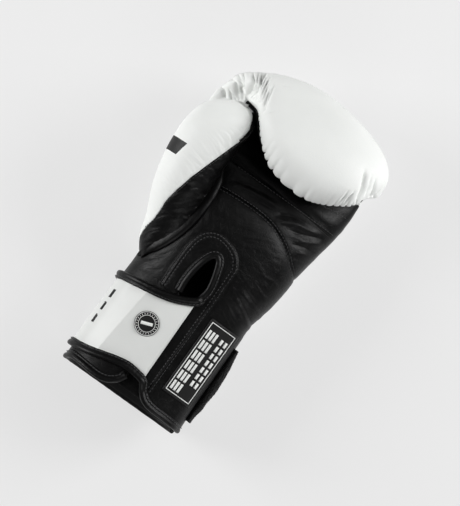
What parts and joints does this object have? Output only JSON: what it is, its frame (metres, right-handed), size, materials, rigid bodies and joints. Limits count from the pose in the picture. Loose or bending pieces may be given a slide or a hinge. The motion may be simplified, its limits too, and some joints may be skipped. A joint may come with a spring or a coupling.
{
  "type": "boxing glove",
  "caption": "Left boxing glove with a padded fist and thumb, a leather palm with a vent slot, and a hook-and-loop wrist strap, lying palm up.",
  "frame": {"origin": "middle of the flat of the back that the glove lies on, on the floor", "axes": "+Z out of the palm, +Y from the cuff to the knuckles, +X to the little-finger side"},
  "size_m": [0.1752, 0.3155, 0.1209],
  "materials": {
    "white_leather": "smooth soft-sheen leather",
    "black_leather": "smooth soft-sheen leather, lightly grained",
    "binding": "satin leather binding",
    "hook_tape": "matt hook tape",
    "badge_print": "satin printed leather"
  },
  "bodies": {
    "root": {"back_pad": "white_leather", "knuckle_pad": "white_leather", "cuff_back": "black_leather", "palm_heel": "black_leather", "palm_upper": "black_leather", "finger_panel": "black_leather", "thumb_shell": "white_leather", "thumb_panel": "black_leather", "thumb_welt": "binding", "slot_patch": "black_leather", "strap": "white_leather", "strap_end": "hook_tape", "binding_upper": "binding", "binding_lower": "binding", "binding_back": "binding", "tongue": "black_leather", "label": "black_leather", "badge": "badge_print"}
  },
  "joints": []
}
